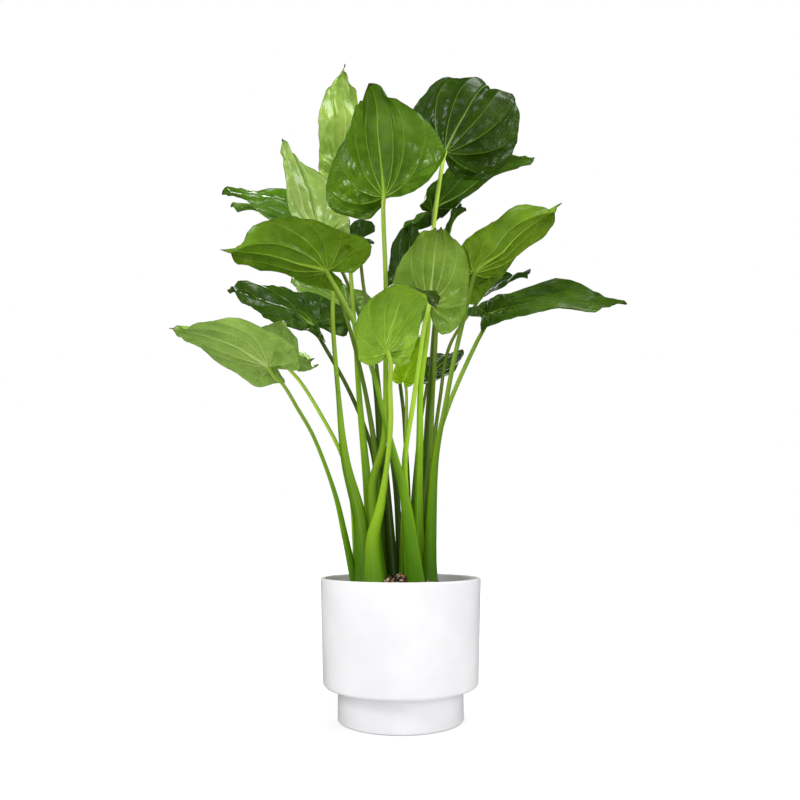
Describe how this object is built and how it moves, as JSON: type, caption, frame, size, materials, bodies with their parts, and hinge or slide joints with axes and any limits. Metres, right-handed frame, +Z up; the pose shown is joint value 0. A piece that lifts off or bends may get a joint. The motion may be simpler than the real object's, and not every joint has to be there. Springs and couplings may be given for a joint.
{
  "type": "potted hooded dwarf elephant ear",
  "caption": "Hooded dwarf elephant ear with heart-shaped leaves on long sheathed stalks, planted in potting mix in a round white stepped planter.",
  "frame": {"origin": "middle of the flat underside of the planter's foot", "axes": "+Z up along the planter's axis, -Y towards the viewer of the picture, +X to the picture's right"},
  "size_m": [0.7389, 0.472, 1.1441],
  "materials": {
    "planter_glaze": "satin white glaze",
    "potting_mix": "rough bark and fibre",
    "stalk": "smooth fresh stalk",
    "leaf_pale": "glossy pale green leaf",
    "leaf_mid": "glossy mid green leaf",
    "leaf_dark": "glossy dark green leaf",
    "leaf_young": "glossy young leaf"
  },
  "bodies": {
    "root": {"planter": "planter_glaze", "soil": "potting_mix", "petiole_01": "stalk", "leaf_blade_01": "leaf_pale", "petiole_02": "stalk", "leaf_blade_02": "leaf_mid", "petiole_03": "stalk", "leaf_blade_03": "leaf_dark", "petiole_04": "stalk", "leaf_blade_04": "leaf_pale", "petiole_05": "stalk", "leaf_blade_05": "leaf_mid", "petiole_06": "stalk", "leaf_blade_06": "leaf_mid", "petiole_07": "stalk", "leaf_blade_07": "leaf_dark", "petiole_08": "stalk", "leaf_blade_08": "leaf_pale", "petiole_09": "stalk", "leaf_blade_09": "leaf_mid", "petiole_10": "stalk", "leaf_blade_10": "leaf_pale", "petiole_11": "stalk", "leaf_blade_11": "leaf_mid", "petiole_12": "stalk", "leaf_blade_12": "leaf_dark", "petiole_13": "stalk", "leaf_blade_13": "leaf_dark", "petiole_14": "stalk", "leaf_blade_14": "leaf_dark", "petiole_15": "stalk", "leaf_blade_15": "leaf_dark", "petiole_16": "stalk", "leaf_blade_16": "leaf_dark", "petiole_17": "stalk", "leaf_blade_17": "leaf_dark", "petiole_18": "stalk", "leaf_blade_18": "leaf_young", "petiole_19": "stalk", "leaf_blade_19": "leaf_dark", "petiole_20": "stalk", "leaf_blade_20": "leaf_pale", "petiole_21": "stalk", "leaf_blade_21": "leaf_pale", "petiole_22": "stalk", "leaf_blade_22": "leaf_dark"}
  },
  "joints": []
}
